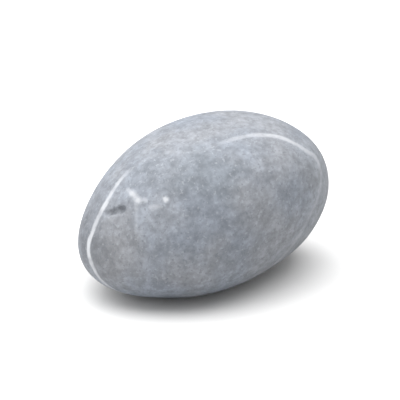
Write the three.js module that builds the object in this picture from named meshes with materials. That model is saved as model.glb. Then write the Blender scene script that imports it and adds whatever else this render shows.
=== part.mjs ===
// A river pebble of fine grey stone, about 70 mm long, 50 mm wide and 43 mm thick.
// It is one natural piece: a rounded lump whose sides the river has worn into broad, soft flats,
// with a few shallow hollows and one small nick.
// It lies on a small flat of its underside, with its +X end a little raised.
// Millimetres, +Z up, +X along the long axis seen from above.
// The origin is at the middle of the pebble's box, on the surface that it lies on.

import * as THREE from "three";
import { mergeVertices } from "three/addons/utils/BufferGeometryUtils.js";

// The rounded lump before wear, as half sizes. Its +X end is raised and its +Y side leans down,
// in degrees.
const HALF_LENGTH = 41;
const HALF_WIDTH = 27;
const HALF_THICKNESS = 24;
const RAISED = 6;
const LEANING = 9;

// The worn sides. Each faces a way given by turn, in degrees from +X towards +Y, and by rise,
// in degrees above the horizon. Its reach is how far its plane lies from the lump's middle.
const WORN_SIDES = [
  { side: "top", turn: 62, rise: 87, reach: 27 },
  { side: "underside", turn: 0, rise: -90, reach: 25 },
  { side: "front", turn: -117, rise: 22, reach: 30.5 },
  { side: "back", turn: 54, rise: -8, reach: 34 },
  { side: "low end", turn: 140, rise: 32, reach: 33 },
  { side: "low end's shoulder", turn: -141, rise: 14, reach: 37 },
  { side: "raised end", turn: 6, rise: 15, reach: 39.5 },
  { side: "raised end's shoulder", turn: 12, rise: 25, reach: 38 },
  { side: "raised end's underside", turn: -70, rise: -15, reach: 26.5 },
];
// How firm the shoulders between the worn sides are: 2 is a plain ball, and 20 shows edges.
const SHOULDER_FIRMNESS = 5;

// The hollows: long shallow dips, and the nick, a small pit beside the white vein. Length and
// width are its size at the surface, and slant tilts its length up from level, in degrees.
const HOLLOWS = [
  { hollow: "nick", turn: -173, rise: 13.5, length: 7, width: 3, slant: 28, depth: 0.9 },
  { hollow: "back", turn: 80, rise: 25, length: 34, width: 20, slant: -15, depth: 0.9 },
  { hollow: "back low", turn: 125, rise: -25, length: 26, width: 18, slant: 20, depth: 0.7 },
  { hollow: "front", turn: -105, rise: -8, length: 30, width: 16, slant: 12, depth: 0.5 },
  { hollow: "raised end", turn: -12, rise: -14, length: 20, width: 15, slant: 60, depth: 0.6 },
  { hollow: "low end", turn: -150, rise: -32, length: 20, width: 14, slant: -10, depth: 0.5 },
];

// The flat that it lies on is what this depth wears off its lowest point.
const REST_FLAT_DEPTH = 0.8;
// The flat's rim is eased over this height above and below the flat.
const REST_RIM = 0.25;

// Triangles run 20 * (MESH_STEPS + 1) ** 2.
const MESH_STEPS = 19;
// Triangles are drawn in round the nick, as if that much closer, out to about this many degrees.
const NICK_GATHER = 0.55;
const NICK_GATHER_SPREAD = 12;

const STONE_GREY = 0x8b9097;

// The unit vector that faces a turn and rise in degrees.
function facing(turn, rise) {
  const t = THREE.MathUtils.degToRad(turn);
  const r = THREE.MathUtils.degToRad(rise);
  return new THREE.Vector3(Math.cos(t) * Math.cos(r), Math.sin(t) * Math.cos(r), Math.sin(r));
}

const wornSides = WORN_SIDES.map(({ turn, rise, reach }) => ({ normal: facing(turn, rise), reach }));
const levelling = new THREE.Euler(
  THREE.MathUtils.degToRad(LEANING),
  THREE.MathUtils.degToRad(RAISED),
  0,
);

// The point of the worn surface that lies in a unit direction from the lump's middle.
// The lump and each worn side give the share of the way to their own surface that the direction
// covers. Their power sum rounds off the corners where they meet.
function wornPoint(direction) {
  const own = direction.clone().applyEuler(levelling);
  const lump = Math.hypot(own.x / HALF_LENGTH, own.y / HALF_WIDTH, own.z / HALF_THICKNESS);
  let sum = lump ** SHOULDER_FIRMNESS;
  for (const { normal, reach } of wornSides) {
    sum += Math.max(0, direction.dot(normal) / reach) ** SHOULDER_FIRMNESS;
  }
  return direction.clone().divideScalar(sum ** (1 / SHOULDER_FIRMNESS));
}

// The hollows, each with its place on the worn surface and the directions of its length and width.
const hollows = HOLLOWS.map(({ turn, rise, length, width, slant, depth }) => {
  const outward = facing(turn, rise);
  const level = facing(turn + 90, 0);
  const along = level.applyAxisAngle(outward, THREE.MathUtils.degToRad(slant));
  const across = new THREE.Vector3().crossVectors(outward, along);
  return { outward, place: wornPoint(outward), along, across, length, width, depth };
});

// How deep the hollows are at a point of the worn surface.
function hollowDepth(point) {
  let total = 0;
  for (const { outward, place, along, across, length, width, depth } of hollows) {
    if (point.dot(outward) < 0) continue;
    const from = point.clone().sub(place);
    const share = Math.hypot(from.dot(along) / (length / 2), from.dot(across) / (width / 2));
    if (share < 1) total += depth * (1 - share ** 2) ** 2;
  }
  return total;
}

// A direction, drawn in towards the nick if it is near it.
function gathered(direction) {
  const nick = hollows[0].outward;
  const spread = THREE.MathUtils.degToRad(NICK_GATHER_SPREAD);
  const near = Math.exp(-((direction.angleTo(nick) / spread) ** 2));
  return direction.clone().lerp(nick, NICK_GATHER * near).normalize();
}

// A height above the flat, with those near and below it eased onto it.
function easedHeight(height) {
  if (height > REST_RIM) return height;
  if (height < -REST_RIM) return 0;
  return (height + REST_RIM) ** 2 / (4 * REST_RIM);
}

function pebbleGeometry() {
  const ball = new THREE.IcosahedronGeometry(1, MESH_STEPS);
  ball.deleteAttribute("normal");
  ball.deleteAttribute("uv");
  const geometry = mergeVertices(ball, 1e-5);
  const place = geometry.getAttribute("position");
  const point = new THREE.Vector3();
  for (let i = 0; i < place.count; i++) {
    const direction = gathered(point.fromBufferAttribute(place, i).normalize());
    const worn = wornPoint(direction);
    worn.addScaledVector(direction, -hollowDepth(worn));
    place.setXYZ(i, ...worn);
  }

  geometry.computeBoundingBox();
  const flat = geometry.boundingBox.min.z + REST_FLAT_DEPTH;
  for (let i = 0; i < place.count; i++) {
    place.setZ(i, easedHeight(place.getZ(i) - flat));
  }

  geometry.computeBoundingBox();
  const middle = geometry.boundingBox.getCenter(new THREE.Vector3());
  geometry.translate(-middle.x, -middle.y, 0);
  geometry.computeVertexNormals();
  return geometry;
}

const stone = new THREE.MeshStandardMaterial({ color: STONE_GREY, roughness: 0.85, metalness: 0 });
const pebble = new THREE.Mesh(pebbleGeometry(), stone);
pebble.name = "pebble";

const part = new THREE.Group();
part.add(pebble);

export default part;
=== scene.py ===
"""A river pebble of fine blue-grey stone with a thin white vein, lying on a pale studio floor.

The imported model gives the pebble's true form. This script makes its surface finer, gives it the
small relief of river-worn stone and the nick's ragged furrow, and paints the stone, the vein, the
flecks, the hairline and the nick by procedural nodes. Places and sizes on the stone are in
millimetres, in the row frame.
"""

import math

import bmesh
import bpy
import numpy as np
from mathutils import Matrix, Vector, noise


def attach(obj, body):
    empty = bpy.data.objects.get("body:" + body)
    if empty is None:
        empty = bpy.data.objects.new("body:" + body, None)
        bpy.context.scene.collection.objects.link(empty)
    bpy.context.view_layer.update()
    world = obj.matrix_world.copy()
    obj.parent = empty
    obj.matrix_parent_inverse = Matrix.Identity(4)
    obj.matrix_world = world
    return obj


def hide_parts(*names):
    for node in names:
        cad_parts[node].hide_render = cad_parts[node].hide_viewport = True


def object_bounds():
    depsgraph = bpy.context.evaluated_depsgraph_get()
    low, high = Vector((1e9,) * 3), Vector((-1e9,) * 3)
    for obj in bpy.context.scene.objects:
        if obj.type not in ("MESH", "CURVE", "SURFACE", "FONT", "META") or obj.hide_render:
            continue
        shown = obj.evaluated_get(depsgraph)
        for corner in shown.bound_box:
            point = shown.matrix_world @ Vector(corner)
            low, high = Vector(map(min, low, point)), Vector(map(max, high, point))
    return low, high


MM = 0.001
PIECE = "river_pebble"
STONE_NODE = "pebble"
# The name of the mesh attribute that tells how bruised the surface is by knocks, from 0 to 1.
BRUISE = "bruise"

# The photograph looks at the pebble from this side and height, in degrees, from about a metre
# off. Distances are in metres.
VIEW_AZIMUTH = -34.0
VIEW_ELEVATION = 25.0
VIEW_DISTANCE = 1.05
VIEW_CLIP = (0.05, 20)
# How wide a stretch the picture shows at the pebble.
VIEW_WIDTH = 0.104
# The width of the camera's sensor, in millimetres.
SENSOR_WIDTH = 36.0

# Soft lights, each with its name, its turn from the camera's far side and its rise in degrees,
# its distance and size in metres, and its power in watts.
SOFTBOXES = (
    ("overhead_softbox", 0, 89, 1.2, 1.6, 29),
    ("back_softbox", 60, 65, 1.0, 1.4, 6),
    ("side_softbox", 100, 35, 1.0, 0.8, 5),
)
WORLD_STRENGTH = 0.87

# The floor, in metres: how far it is flat, how far out and how high it sweeps, and how finely.
FLOOR_RADIUS = 1.3
SWEEP_RADIUS = 2.2
SWEEP_RISE = 0.9
SWEEP_STEPS = 10
FLOOR_SIDES = 96

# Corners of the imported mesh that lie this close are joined.
JOIN_DISTANCE = 0.001
# The surface: levels of subdivision, and the depth and size of its broad and its small
# unevenness. All relief is worn into the stone, never added to it.
FINE_LEVELS = 2
BROAD_DEPTH, BROAD_SIZE = 0.20, 13.0
SMALL_DEPTH, SMALL_SIZE = 0.06, 4.2
# Knocks from other stones: small round dimples, one in each cell of this size whose first random
# number, from 0 to 1, isn't above this limit.
KNOCK_CELL = 3.4
KNOCK_LIMIT = 0.45
KNOCK_RADIUS = (0.45, 1.2)
KNOCK_DEPTH = (0.02, 0.09)
# The seed of the knocks' random numbers. Without one Blender takes it from the clock.
KNOCK_SEED = 1
# A cell's middle is multiplied by this before noise gives its random numbers, so that the numbers
# of neighbouring cells differ.
KNOCK_SCATTER = 7.31
# Relief fades out towards the flat that the pebble lies on, between these heights.
REST_FADE = (0.2, 3.0)

# The nick beside the vein: a short furrow along these places. Its radius is ragged by up to this
# share, in waves of this size.
NICK_LINE = ((-30.6, -3.0, 26.7), (-29.3, -4.5, 27.4), (-27.9, -6.3, 28.4))
NICK_RADIUS = 1.0
NICK_DEPTH = 0.55
NICK_RAGGED, NICK_RAGGED_SIZE = 0.35, 0.7

# The vein is a thin sheet through the whole stone, so it shows as a ring. The sheet's plane faces
# this turn and rise, in degrees, and lies this far from the origin. Places round the ring are
# angles in degrees about the ring's middle: 0 at the top, 90 at the raised end, 180 underneath.
VEIN_TURN, VEIN_RISE, VEIN_OFFSET = -108.0, 7.0, 13.0
# How high the ring's middle lies.
RING_HEIGHT = 21.0
# The vein's mean half width, and the size of the stretches that are wider or narrower.
VEIN_HALF_WIDTH, VEIN_WIDTH_SIZE = 0.64, 5.0
# The vein's edge fades over this distance to each side.
VEIN_EDGE = 0.38
# The vein's small bends: how far they swing in all, and their size.
VEIN_RAGGED, VEIN_RAGGED_SIZE = 0.8, 2.2
# A faint pale border fades out over this distance from the vein's middle.
VEIN_BORDER = 2.0
VEIN_BORDER_STRENGTH = 0.10
# How far off its plane the sheet waves, at places round the ring, and the most that it may.
VEIN_COURSE = (
    (-180, 0.2), (-130, 0.9), (-113, 1.5), (-106, 1.1), (-102, 0.5), (-99, 0.2), (-95, 0.3),
    (-91, 0.55), (-87, 0.4), (-80, 0.3), (-75, 0.05), (-72, -0.3), (-68, -0.85), (-64, -1.25),
    (-59, -1.6), (-46, -1.2), (-22, 2.0), (-9, 3.2), (0, 2.8), (6, 2.1), (12, 1.45), (20, 0.8),
    (26, 0.15), (33, -0.4), (38, -0.5), (44, -0.5), (50, -0.2), (56, 0.4), (62, 0.45), (70, -0.4),
    (80, 0.1), (90, 0.9), (100, 1.6), (135, 1.0), (180, 0.2),
)
VEIN_SWING = 5.0
# How strongly it shows there, from 0 to 1.
VEIN_STRENGTH = (
    (-180, 0.25), (-145, 0.4), (-118, 0.65), (-106, 0.9), (-98, 0.98), (-92, 0.75), (-84, 0.55),
    (-79, 0.85), (-75, 0.65), (-68, 0.6), (-63, 0.42), (-58, 0.2), (-50, 0.08), (-30, 0.05),
    (0, 0.08), (12, 0.16), (20, 0.32), (33, 0.34), (38, 0.42), (44, 0.6), (50, 0.6), (56, 0.5),
    (66, 0.4), (72, 0.3), (80, 0.22), (98, 0.18), (130, 0.25), (180, 0.25),
)

# Colours are linear. The stone's own run from a cool grey to a warm one.
COOL_GREY = (0.158, 0.176, 0.205, 1)
WARM_GREY = (0.178, 0.187, 0.204, 1)
DARK_GRAIN = (0.085, 0.094, 0.108, 1)
PALE_GRAIN = (0.270, 0.286, 0.310, 1)
VEIN_WHITE = (0.430, 0.440, 0.462, 1)
# The nick's colour: painted shade and dirt in its furrow.
NICK_DIRT_AND_SHADE = (0.048, 0.053, 0.062, 1)
FLOOR_WHITE = (0.60, 0.60, 0.60, 1)
WORLD_WHITE = (1, 1, 1, 1)

# Unevenness of the colour. Each is a noise with its size, its detail and its roughness, the span
# of the noise that it steps over, and what it gives at both ends of the span: a share of the way
# to another colour, or a factor.
CLOUDS = (18.0, 3, 0.5, (0.35, 0.65), (0.0, 1.0))
MOTTLE = (3.2, 2, 0.5, (0.28, 0.72), (0.84, 1.16))
FINE_MOTTLE = (1.2, 3, 0.6, (0.25, 0.75), (0.84, 1.16))
DARK_GRAINS = (0.8, 1, 0.5, (0.60, 0.72), (0.0, 0.45))
PALE_GRAINS = (0.9, 1, 0.5, (0.62, 0.72), (0.0, 0.40))
VEIN_BREAKS = (3.0, 2, 0.5, (0.25, 0.5), (0.65, 1.0))
# How much paler knocks are, from 0 to 1.
BRUISE_STRENGTH = 0.3
# The finest grain, which shows as bump and roughness alone: its noise's size, detail and
# roughness, and the bump's depth.
GRAIN = (0.55, 4, 0.6)
GRAIN_DEPTH = 0.03
# How rough the stone is to light, at both ends of this span of the grain.
GRAIN_SPAN = (0.3, 0.7)
STONE_ROUGHNESS = (0.58, 0.74)

# Broad patches of the stone, each with its middle, its reach and its colour. They make the stone
# lighter or darker in broad places, and the two darkest, on the left end, are painted shade. A
# patch is at its full strength out to this share of its reach.
PATCH_STRENGTH, PATCH_CORE = 0.85, 0.3
TONE_AND_SHADE_PATCHES = (
    ((-9.5, -16.0, 36.4), 14.0, (0.130, 0.147, 0.170, 1)),
    ((-18.0, -5.0, 36.0), 9.0, (0.142, 0.156, 0.178, 1)),
    ((-13.5, -19.3, 27.0), 10.0, (0.150, 0.167, 0.195, 1)),
    ((-21.5, -14.5, 28.0), 8.0, (0.192, 0.206, 0.230, 1)),
    ((-33.0, -8.0, 18.0), 13.0, (0.180, 0.186, 0.199, 1)),
    # The next two are painted shade on the left end.
    ((-34.5, -2.7, 17.0), 8.0, (0.118, 0.124, 0.135, 1)),
    ((-33.2, 5.0, 20.0), 12.0, (0.118, 0.126, 0.142, 1)),
    ((-28.0, 4.5, 29.5), 7.0, (0.145, 0.156, 0.177, 1)),
    ((22.5, -18.0, 31.5), 10.0, (0.192, 0.204, 0.223, 1)),
)
# Small marks, each with the places that it runs through, its radius, its strength and its colour.
# A mark fades between these shares of its radius. Its edge wavers by this much in all, in waves
# of this size.
MARK_FADE = (0.1, 1.3)
MARK_RAGGED, MARK_RAGGED_SIZE = 1.0, 1.1
MARKS = (
    # The light fleck nearest the nick, the arm towards the top, the tail and the foot.
    (((-25.2, -6.5, 32.3), (-25.0, -8.7, 31.2)), 1.15, 0.50, VEIN_WHITE),
    (((-25.3, -4.8, 32.8), (-25.3, -6.6, 32.2)), 0.80, 0.30, VEIN_WHITE),
    (((-24.8, -8.8, 31.3), (-23.6, -10.3, 31.5)), 0.80, 0.35, VEIN_WHITE),
    (((-25.3, -8.5, 31.0), (-25.9, -9.5, 29.5)), 0.80, 0.20, VEIN_WHITE),
    # The second fleck, a painted shadow just below it, and a faint streak towards it.
    (((-19.8, -13.5, 32.0), (-19.7, -13.7, 31.9)), 0.90, 0.85, VEIN_WHITE),
    (((-20.0, -14.5, 30.6), (-19.5, -14.4, 31.3)), 0.60, 0.35, DARK_GRAIN),
    (((-23.3, -11.9, 30.1), (-21.3, -13.6, 30.4)), 0.70, 0.28, VEIN_WHITE),
    # A faint hairline below the first fleck.
    (((-25.9, -9.5, 29.5), (-26.6, -10.6, 27.3), (-27.6, -11.7, 23.8)), 0.50, 0.13, VEIN_WHITE),
    # Two dark spots below the vein, and the darkest places of the nick, painted shade and dirt in
    # its furrow.
    (((14.6, -16.0, 38.5), (14.9, -16.4, 38.2)), 0.85, 0.35, DARK_GRAIN),
    (((16.9, -18.9, 35.2), (17.9, -19.0, 34.4)), 1.00, 0.35, DARK_GRAIN),
    (((-28.1, -5.9, 28.2), (-28.0, -6.2, 28.4)), 0.95, 0.70, NICK_DIRT_AND_SHADE),
    (((-30.0, -3.9, 27.1), (-29.6, -4.3, 27.3)), 0.80, 0.60, NICK_DIRT_AND_SHADE),
)
# How dark the rest of the nick is painted, with shade and dirt in its furrow, from 0 to 1, and the
# shares of its radius that this fades between.
NICK_SHADE = 0.50
NICK_FADE = (0.2, 1.0)


def facing(turn, rise):
    """The unit vector that faces a turn from +X towards +Y and a rise above the horizon."""
    t, r = math.radians(turn), math.radians(rise)
    return Vector((math.cos(t) * math.cos(r), math.sin(t) * math.cos(r), math.sin(r)))


def eased(low, high, value):
    """0 below low, 1 above high, and a smooth step between."""
    t = np.clip((value - low) / (high - low), 0, 1)
    return t * t * (3 - 2 * t)


def between(ends, share):
    """The value at a share of the way from the first of two ends to the second."""
    return ends[0] + (ends[1] - ends[0]) * share


def fine_copy(node):
    """A new object with the node's mesh, its split corners joined and its surface subdivided."""
    mesh = bpy.data.meshes.new(PIECE)
    solid = bmesh.new()
    solid.from_mesh(node.data)
    bmesh.ops.remove_doubles(solid, verts=solid.verts, dist=JOIN_DISTANCE * MM)
    solid.to_mesh(mesh)
    solid.free()
    piece = bpy.data.objects.new(PIECE, mesh)
    bpy.context.scene.collection.objects.link(piece)
    smooth = piece.modifiers.new("fine", "SUBSURF")
    smooth.levels = smooth.render_levels = FINE_LEVELS
    bpy.context.view_layer.update()
    evaluated = piece.evaluated_get(bpy.context.evaluated_depsgraph_get())
    fine = bpy.data.meshes.new_from_object(evaluated)
    piece.modifiers.clear()
    piece.data = fine
    bpy.data.meshes.remove(mesh)
    fine.name = PIECE
    fine.materials.clear()
    fine.shade_smooth()
    return piece


def knock_depth(point):
    """How deep the knocks are at a point."""
    distances, centres = noise.voronoi(point / KNOCK_CELL)
    depth = 0.0
    for distance, centre in zip(distances, centres):
        numbers = noise.noise_vector(centre * KNOCK_SCATTER)
        chance, size, force = (0.5 + 0.5 * number for number in numbers)
        if chance > KNOCK_LIMIT:
            continue
        share = distance * KNOCK_CELL / between(KNOCK_RADIUS, size)
        if share < 1:
            depth += between(KNOCK_DEPTH, force) * (1 - share * share) ** 2
    return depth


def relief_depth(point):
    """How deep the stone is worn at a point, in mm, besides the knocks and the nick."""
    broad = BROAD_DEPTH * (0.5 + 0.5 * noise.noise(point / BROAD_SIZE))
    small = SMALL_DEPTH * (0.5 + 0.5 * noise.noise(point / SMALL_SIZE))
    return broad + small


def segment_distance(point, start, end):
    """How far a point is from the straight line between two places."""
    start, way = Vector(start), Vector(end) - Vector(start)
    share = min(1.0, max(0.0, (point - start).dot(way) / way.length_squared))
    return (point - start - way * share).length


def nick_depth(point):
    """How deep the nick is at a point, in mm. Its edge is ragged."""
    away = min(segment_distance(point, start, end) for start, end in zip(NICK_LINE, NICK_LINE[1:]))
    share = away / (NICK_RADIUS * (1 + NICK_RAGGED * noise.noise(point / NICK_RAGGED_SIZE)))
    return NICK_DEPTH * max(0.0, 1 - share * share)


def wear(piece):
    """Moves the surface inwards by its relief, and marks where the knocks are."""
    noise.seed_set(KNOCK_SEED)
    mesh = piece.data
    count = len(mesh.vertices)
    places = np.empty(count * 3, np.float32)
    mesh.vertices.foreach_get("co", places)
    places = places.reshape(count, 3).astype(float)
    normals = np.empty(count * 3, np.float32)
    mesh.vertex_normals.foreach_get("vector", normals)
    normals = normals.reshape(count, 3)
    fade = eased(*REST_FADE, places[:, 2] / MM)
    depth = np.empty(count)
    bruise = np.empty(count, np.float32)
    for i, place in enumerate(places / MM):
        point = Vector(place)
        knock = knock_depth(point)
        depth[i] = (relief_depth(point) + knock) * fade[i] + nick_depth(point)
        bruise[i] = min(1.0, knock / KNOCK_DEPTH[1])
    places -= normals * depth[:, None] * MM
    mesh.vertices.foreach_set("co", places.astype(np.float32).ravel())
    mesh.attributes.new(BRUISE, "FLOAT", "POINT").data.foreach_set("value", bruise)
    mesh.update()


class Graph:
    """The nodes of one material. An input's value is a number, a colour or another socket."""

    def __init__(self, name):
        self.material = bpy.data.materials.new(name)
        self.material.use_nodes = True
        self.tree = self.material.node_tree
        self.tree.nodes.clear()

    def add(self, kind, inputs, **settings):
        node = self.tree.nodes.new("ShaderNode" + kind)
        for key, value in settings.items():
            setattr(node, key, value)
        for key, value in inputs.items():
            if isinstance(value, bpy.types.NodeSocket):
                self.tree.links.new(value, node.inputs[key])
            else:
                node.inputs[key].default_value = value
        return node

    def math(self, operation, *values):
        return self.add("Math", dict(enumerate(values)), operation=operation).outputs[0]

    def vector_math(self, operation, *values):
        """The outputs of a vector operation: Vector, or Value where the result is a number."""
        return self.add("VectorMath", dict(enumerate(values)), operation=operation).outputs

    def dot(self, vector, direction):
        return self.vector_math("DOT_PRODUCT", vector, tuple(direction))["Value"]

    def distance(self, vector, place):
        return self.vector_math("DISTANCE", vector, place)["Value"]

    def noise(self, vector, size, detail, roughness=0.5):
        inputs = {"Vector": vector, "Scale": 1 / size, "Detail": detail, "Roughness": roughness}
        return self.add("TexNoise", inputs).outputs["Fac"]

    def wander(self, vector, size, swing):
        """Noise about 0 that swings by this much in all."""
        return self.math("MULTIPLY_ADD", self.noise(vector, size, 3), swing, -0.5 * swing)

    def step(self, value, low, high, to_low, to_high):
        """A smooth step from to_low at low to to_high at high."""
        inputs = {
            "Value": value, "From Min": low, "From Max": high, "To Min": to_low, "To Max": to_high,
        }
        return self.add("MapRange", inputs, interpolation_type="SMOOTHSTEP").outputs["Result"]

    def uneven(self, vector, size, detail, roughness, span, ends):
        """Noise that steps smoothly over a span of its own from one end to the other."""
        return self.step(self.noise(vector, size, detail, roughness), *span, *ends)

    def mix(self, share, a, b, blend="MIX"):
        node = self.add("Mix", {}, data_type="RGBA", blend_type=blend)
        by_name = {"Factor_Float": share, "A_Color": a, "B_Color": b}
        for socket in node.inputs:
            value = by_name.get(socket.identifier)
            if isinstance(value, bpy.types.NodeSocket):
                self.tree.links.new(value, socket)
            elif value is not None:
                socket.default_value = value
        return next(s for s in node.outputs if s.identifier == "Result_Color")

    def line_distance(self, vector, places):
        """How far a vector's place is from the line that runs straight from place to place."""
        nearest = None
        for start, end in zip(places, places[1:]):
            way = Vector(end) - Vector(start)
            before = self.vector_math("SUBTRACT", vector, start)["Vector"]
            share = self.dot(before, way / way.length_squared)
            share = self.add("Clamp", {"Value": share}).outputs["Result"]
            foot = self.vector_math("MULTIPLY_ADD", share, tuple(way), start)["Vector"]
            away = self.distance(vector, foot)
            nearest = away if nearest is None else self.math("MINIMUM", nearest, away)
        return nearest

    def round_curve(self, angle, points, low, high):
        """A smooth curve of an angle in degrees, from -180 to 180.

        It runs through points that each pair an angle with a value from low to high.
        """
        node = self.add("FloatCurve", {"Value": self.math("MULTIPLY_ADD", angle, 1 / 360, 0.5)})
        curve = node.mapping.curves[0]
        spots = [(0.5 + place / 360, (value - low) / (high - low)) for place, value in points]
        curve.points[0].location = spots[0]
        curve.points[1].location = spots[-1]
        for spot in spots[1:-1]:
            curve.points.new(*spot)
        node.mapping.update()
        return self.math("MULTIPLY_ADD", node.outputs[0], high - low, low)


def vein_share(graph, place):
    """How much of the surface is white vein at a place, from 0 to 1."""
    outward = facing(VEIN_TURN, VEIN_RISE)
    level = facing(VEIN_TURN + 90, 0)
    up = graph.math("SUBTRACT", graph.dot(place, outward.cross(level)), RING_HEIGHT)
    angle = graph.math("ARCTAN2", graph.dot(place, level), up)
    angle = graph.math("MULTIPLY", angle, 180 / math.pi)

    off = graph.math("SUBTRACT", graph.dot(place, outward), VEIN_OFFSET)
    course = graph.round_curve(angle, VEIN_COURSE, -VEIN_SWING, VEIN_SWING)
    off = graph.math("SUBTRACT", off, course)
    ragged = graph.wander(place, VEIN_RAGGED_SIZE, VEIN_RAGGED)
    off = graph.math("ABSOLUTE", graph.math("ADD", off, ragged))

    # The noise's mean is a half, which gives the mean half width.
    width = graph.noise(place, VEIN_WIDTH_SIZE, 1)
    width = graph.math("MULTIPLY_ADD", width, VEIN_HALF_WIDTH, 0.5 * VEIN_HALF_WIDTH)
    core = graph.step(graph.math("SUBTRACT", off, width), -VEIN_EDGE, VEIN_EDGE, 1.0, 0.0)
    border = graph.step(off, 0.0, VEIN_BORDER, VEIN_BORDER_STRENGTH, 0.0)
    strength = graph.round_curve(angle, VEIN_STRENGTH, 0.0, 1.0)
    share = graph.math("MULTIPLY", graph.math("MAXIMUM", core, border), strength)
    return graph.math("MULTIPLY", share, graph.uneven(place, *VEIN_BREAKS))


def stone_colour_and_shade(graph, place):
    """The stone's colour and the painted shade on its left end, without the vein and marks."""
    colour = graph.mix(graph.uneven(place, *CLOUDS), COOL_GREY, WARM_GREY)
    for spot, reach, tone_and_shade in TONE_AND_SHADE_PATCHES:
        wandering = graph.wander(place, 0.5 * reach, reach)
        near = graph.math("ADD", graph.distance(place, spot), wandering)
        share = graph.step(near, PATCH_CORE * reach, reach, PATCH_STRENGTH, 0.0)
        colour = graph.mix(share, colour, tone_and_shade)
    mottle = graph.uneven(place, *MOTTLE)
    fine = graph.uneven(place, *FINE_MOTTLE)
    colour = graph.mix(1.0, colour, graph.math("MULTIPLY", mottle, fine), "MULTIPLY")
    colour = graph.mix(graph.uneven(place, *DARK_GRAINS), colour, DARK_GRAIN)
    colour = graph.mix(graph.uneven(place, *PALE_GRAINS), colour, PALE_GRAIN)
    bruise = graph.add("Attribute", {}, attribute_name=BRUISE).outputs["Fac"]
    return graph.mix(graph.math("MULTIPLY", bruise, BRUISE_STRENGTH), colour, PALE_GRAIN)


def stone_material():
    graph = Graph("river_stone")
    place = graph.add("TexCoord", {}).outputs["Object"]
    place = graph.vector_math("MULTIPLY", place, (1 / MM, 1 / MM, 1 / MM))["Vector"]

    colour = stone_colour_and_shade(graph, place)
    colour = graph.mix(vein_share(graph, place), colour, VEIN_WHITE)
    ragged = graph.wander(place, MARK_RAGGED_SIZE, MARK_RAGGED)
    # The nick darkens by painted shade and dirt in its furrow.
    nick = (NICK_LINE, NICK_RADIUS, NICK_SHADE, NICK_DIRT_AND_SHADE)
    marks = [(mark, MARK_FADE) for mark in MARKS] + [(nick, NICK_FADE)]
    for (places, radius, strength, tone_and_shade), (full, gone) in marks:
        near = graph.math("ADD", graph.line_distance(place, places), ragged)
        share = graph.step(near, full * radius, gone * radius, strength, 0.0)
        colour = graph.mix(share, colour, tone_and_shade)

    grain = graph.noise(place, *GRAIN)
    bump = graph.add("Bump", {"Height": grain, "Distance": GRAIN_DEPTH * MM, "Strength": 1.0})
    shader = graph.add("BsdfPrincipled", {
        "Base Color": colour,
        "Roughness": graph.step(grain, *GRAIN_SPAN, *STONE_ROUGHNESS),
        "Specular IOR Level": 0.4,
        "Normal": bump.outputs["Normal"],
    })
    graph.add("OutputMaterial", {"Surface": shader.outputs["BSDF"]})
    return graph.material


def floor_material():
    graph = Graph("studio_floor")
    shader = graph.add("BsdfPrincipled", {
        "Base Color": FLOOR_WHITE,
        "Roughness": 0.9,
        "Specular IOR Level": 0.1,
    })
    graph.add("OutputMaterial", {"Surface": shader.outputs["BSDF"]})
    return graph.material


def make_pebble(node):
    piece = fine_copy(node)
    wear(piece)
    piece.data.materials.append(stone_material())
    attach(piece, "root")
    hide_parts(STONE_NODE)


def make_floor():
    """A round floor that sweeps up far behind, the same all the way round."""
    mesh = bmesh.new()
    middle = mesh.verts.new((0, 0, 0))
    turns = [2 * math.pi * k / FLOOR_SIDES for k in range(FLOOR_SIDES)]
    rings = []
    for i in range(SWEEP_STEPS + 1):
        angle = math.radians(90 * i / SWEEP_STEPS)
        radius = FLOOR_RADIUS + (SWEEP_RADIUS - FLOOR_RADIUS) * math.sin(angle)
        height = SWEEP_RISE * (1 - math.cos(angle))
        ring = [(radius * math.cos(t), radius * math.sin(t), height) for t in turns]
        rings.append([mesh.verts.new(place) for place in ring])
    for k in range(FLOOR_SIDES):
        mesh.faces.new((middle, rings[0][k], rings[0][(k + 1) % FLOOR_SIDES]))
    for inner, outer in zip(rings, rings[1:]):
        for k in range(FLOOR_SIDES):
            after = (k + 1) % FLOOR_SIDES
            mesh.faces.new((inner[k], outer[k], outer[after], inner[after]))
    data = bpy.data.meshes.new("studio_floor")
    mesh.to_mesh(data)
    mesh.free()
    data.shade_smooth()
    data.materials.append(floor_material())
    floor = bpy.data.objects.new("studio_floor", data)
    bpy.context.scene.collection.objects.link(floor)


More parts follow.
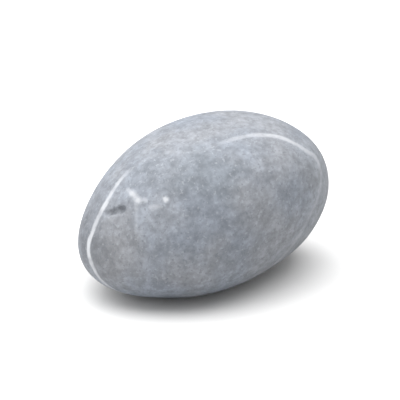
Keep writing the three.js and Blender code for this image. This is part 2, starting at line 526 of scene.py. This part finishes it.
def view_direction():
    """The direction from the pebble to the camera."""
    a, e = math.radians(VIEW_AZIMUTH), math.radians(VIEW_ELEVATION)
    return Vector((math.sin(a) * math.cos(e), -math.cos(a) * math.cos(e), math.sin(e)))


def make_camera(target):
    data = bpy.data.cameras.new("camera")
    data.sensor_width = SENSOR_WIDTH
    data.lens = SENSOR_WIDTH * VIEW_DISTANCE / VIEW_WIDTH
    data.clip_start, data.clip_end = VIEW_CLIP
    camera = bpy.data.objects.new("camera", data)
    camera.location = target + view_direction() * VIEW_DISTANCE
    camera.rotation_mode = "QUATERNION"
    camera.rotation_quaternion = (-view_direction()).to_track_quat("-Z", "Y")
    bpy.context.scene.collection.objects.link(camera)
    bpy.context.scene.camera = camera


def make_softbox(name, turn, rise, distance, size, power, target):
    """A square soft light that faces the target."""
    data = bpy.data.lights.new(name, "AREA")
    data.shape = "SQUARE"
    data.size = size
    data.energy = power
    light = bpy.data.objects.new(name, data)
    away = facing(90 + VIEW_AZIMUTH + turn, rise)
    light.location = target + away * distance
    light.rotation_mode = "QUATERNION"
    light.rotation_quaternion = (-away).to_track_quat("-Z", "Y")
    bpy.context.scene.collection.objects.link(light)


def make_lights(target):
    for softbox in SOFTBOXES:
        make_softbox(*softbox, target)
    world = bpy.data.worlds.new("studio")
    world.use_nodes = True
    background = world.node_tree.nodes["Background"]
    background.inputs["Color"].default_value = WORLD_WHITE
    background.inputs["Strength"].default_value = WORLD_STRENGTH
    bpy.context.scene.world = world


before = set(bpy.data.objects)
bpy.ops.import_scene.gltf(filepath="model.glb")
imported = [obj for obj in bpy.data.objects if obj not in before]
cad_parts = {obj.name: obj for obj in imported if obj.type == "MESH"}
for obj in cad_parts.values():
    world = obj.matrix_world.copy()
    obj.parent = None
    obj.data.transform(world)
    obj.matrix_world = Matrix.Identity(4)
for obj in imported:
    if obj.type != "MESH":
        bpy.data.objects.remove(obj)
cad_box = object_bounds()
low, high = cad_box
middle = (low + high) / 2

make_pebble(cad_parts[STONE_NODE])
make_floor()
make_camera(middle)
make_lights(middle)
bpy.context.scene.view_settings.view_transform = "Standard"
